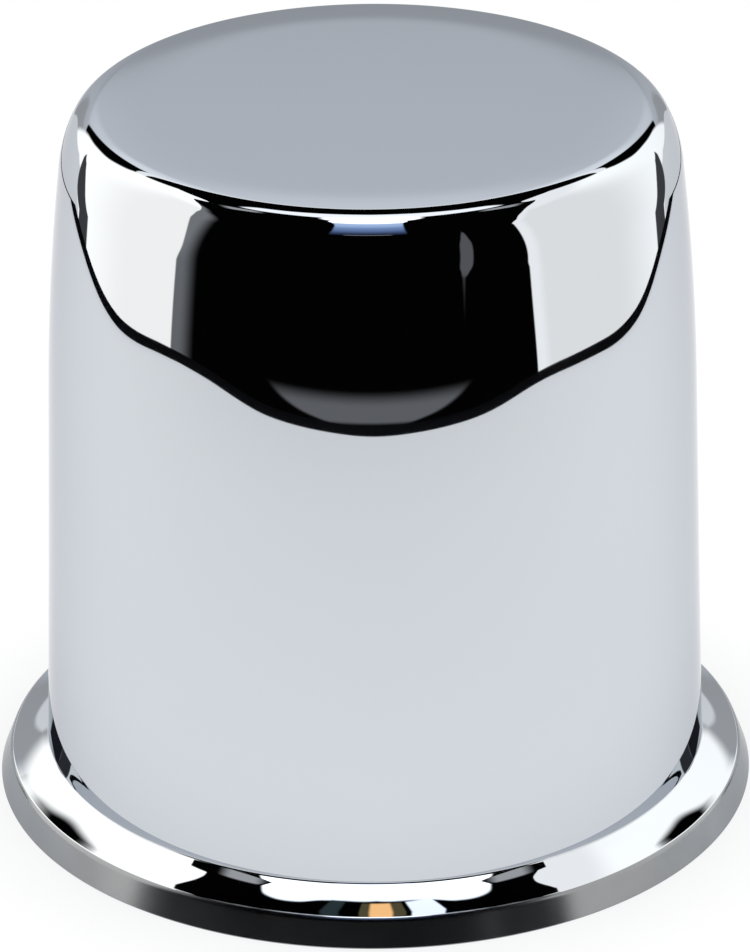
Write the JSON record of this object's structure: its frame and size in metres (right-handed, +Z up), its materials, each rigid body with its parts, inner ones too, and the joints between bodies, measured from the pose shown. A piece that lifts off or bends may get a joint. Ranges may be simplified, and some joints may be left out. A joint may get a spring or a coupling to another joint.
{
  "type": "wheel center cap",
  "caption": "Tall push-through wheel center cap: a drawn, polished steel cup with a closed flat top, gently tapered wall and a flared flange with a turned-down edge.",
  "frame": {"origin": "centre of the lower edge of the flange, on the plane that the cap stands on", "axes": "+Z up along the axis of revolution towards the closed top; X and Y are interchangeable"},
  "size_m": [0.1224, 0.1224, 0.1156],
  "materials": {
    "chrome_plate": "bright chromium plate on polished steel, mirror-like outside and duller inside the cup"
  },
  "bodies": {
    "root": {"cap_shell": "chrome_plate"}
  },
  "joints": []
}
